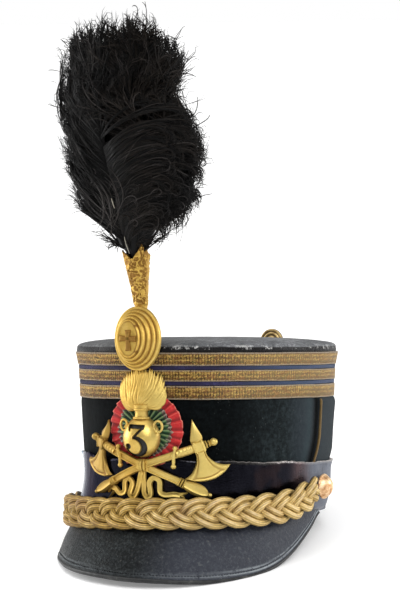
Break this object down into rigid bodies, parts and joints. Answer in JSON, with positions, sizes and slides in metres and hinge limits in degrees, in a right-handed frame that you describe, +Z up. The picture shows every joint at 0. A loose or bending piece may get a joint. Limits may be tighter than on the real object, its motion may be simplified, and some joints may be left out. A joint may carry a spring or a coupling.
{
  "type": "kepi",
  "caption": "Parade kepi with a feather plume, oval gilt boss, ribbon cockade, grenade badge, lace bands, leather peak and plaited peak cord.",
  "frame": {"origin": "on the floor, under the middle of the kepi's box, as it rests by itself on the edge of its peak and the rear of its rim", "axes": "+Z up, -Y the wearer's front, +X the wearer's left"},
  "size_m": [0.1882, 0.272, 0.3804],
  "materials": {
    "wool_cloth": "dark green-black milled wool with lint",
    "patent_leather": "crazed black patent leather with a worn sheen",
    "band_leather": "glossy black leather with a pale frayed edge",
    "peak_leather": "grained black leather, rubbed dull",
    "gold_lace": "tarnished woven gold lace",
    "blue_stripe": "purple-blue woven stripe",
    "gold_cord": "cord wound in dull gold wire",
    "worn_gilt": "worn gilt over copper, dented",
    "gilt": "fire-gilt stamped brass with dark hollows",
    "ribbon_green": "pleated dark green ribbon",
    "ribbon_white": "pleated yellowed white ribbon",
    "ribbon_red": "pleated red ribbon",
    "feather": "black curled feather barbs"
  },
  "bodies": {
    "root": {"crown_body": "wool_cloth", "crown_top": "patent_leather", "lace_lower": "gold_lace", "lace_middle": "gold_lace", "lace_upper": "gold_lace", "stripe_lower": "blue_stripe", "stripe_upper": "blue_stripe", "leather_band": "band_leather", "peak": "peak_leather", "peak_binding": "band_leather", "braid_strand_1": "gold_cord", "braid_strand_2": "gold_cord", "braid_strand_3": "gold_cord", "side_button_left": "worn_gilt", "side_button_right": "worn_gilt", "side_cord_left": "gold_cord", "side_cord_right": "gold_cord", "cockade_green": "ribbon_green", "cockade_white": "ribbon_white", "cockade_red": "ribbon_red", "badge": "gilt", "front_boss": "gilt", "plume_cup": "gilt", "rear_boss": "gilt", "plume": "feather"}
  },
  "joints": []
}
